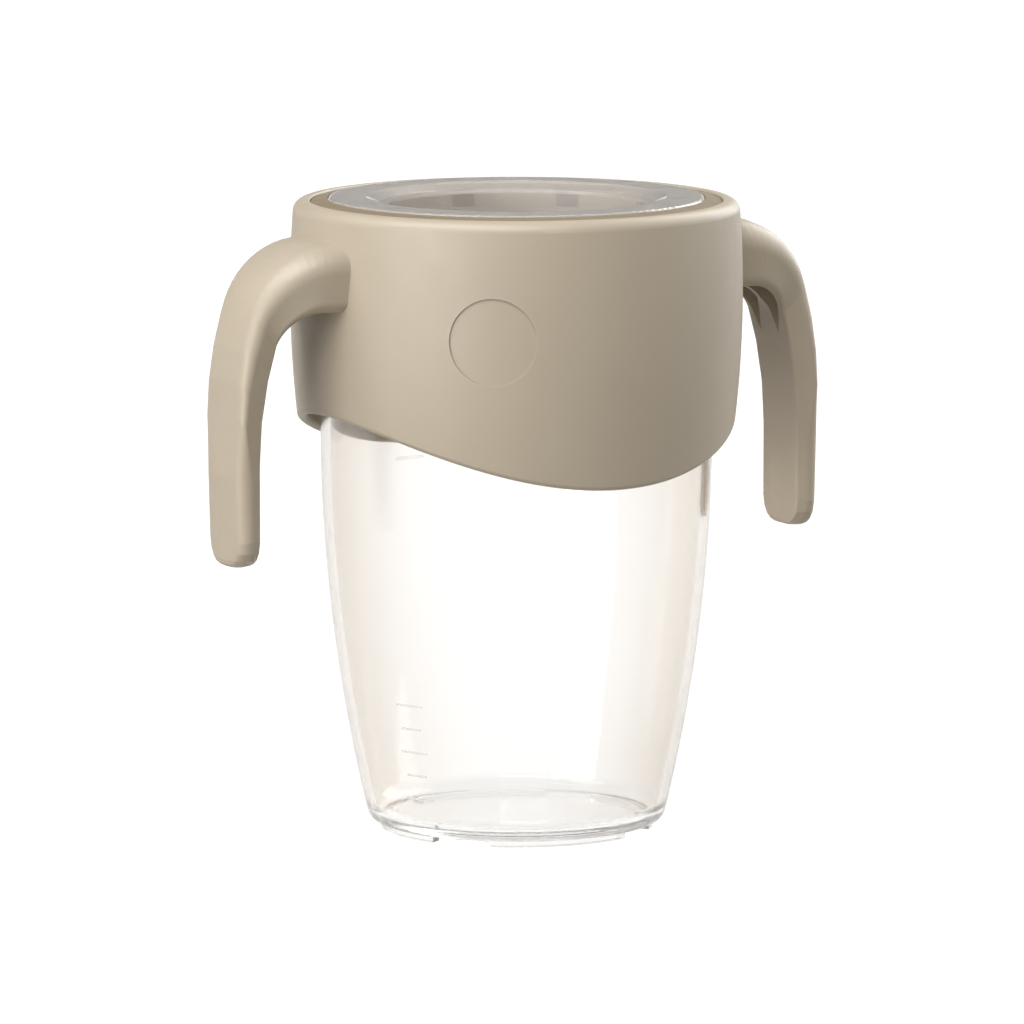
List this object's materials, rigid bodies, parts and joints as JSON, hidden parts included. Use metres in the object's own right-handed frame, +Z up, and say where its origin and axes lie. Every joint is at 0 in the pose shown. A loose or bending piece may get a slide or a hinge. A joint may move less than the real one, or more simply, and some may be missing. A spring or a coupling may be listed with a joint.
{
  "type": "training cup",
  "caption": "Spoutless toddler training cup: clear tumbler, screw collar with wavy hem and hanging strap handles, lid disc with a well, soft sealing lip.",
  "frame": {"origin": "centre of the cup's foot, on the surface that the cup stands on", "axes": "+Z up along the cup's axis, handles along +X and -X, a low point of the hem at -Y, which is the front"},
  "size_m": [0.1242, 0.0844, 0.1187],
  "materials": {
    "clear_cup": "clear moulded copolyester, glossy",
    "beige_shell": "warm beige moulded polypropylene, fine matte grain",
    "smoke_clear": "smoky translucent moulded plastic, glossy",
    "tan_silicone": "soft tan silicone, satin",
    "milky_core": "pale moulded polypropylene, satin",
    "clear_silicone": "milky soft silicone, satin"
  },
  "bodies": {
    "cup": {"cup_body": "clear_cup"},
    "seal": {"cup_seal": "clear_silicone"},
    "carrier": {"valve_carrier": "milky_core"},
    "screw_collar": {"collar": "beige_shell", "left_handle": "beige_shell", "right_handle": "beige_shell"},
    "insert": {"lid_insert": "smoke_clear", "valve_lip": "tan_silicone"}
  },
  "joints": [
    {"name": "lid_lift_off", "type": "slide", "parent": "cup", "child": "seal", "axis": [0, 0, 1], "range_m": [0, 0.075]},
    {"name": "thread_rise", "type": "slide", "parent": "seal", "child": "carrier", "axis": [0, 0, 1], "range_m": [0, 0.005]},
    {"name": "collar_turn", "type": "hinge", "parent": "carrier", "child": "screw_collar", "pos_m": [0, 0, 0.09], "axis": [0, 0, 1], "range_deg": [0, 200]},
    {"name": "insert_pull", "type": "slide", "parent": "carrier", "child": "insert", "axis": [0, 0, 1], "range_m": [0, 0.025]}
  ],
  "couplings": [
    {"joint": "thread_rise", "follows": "collar_turn", "m_per_rad": 0.0014324}
  ]
}
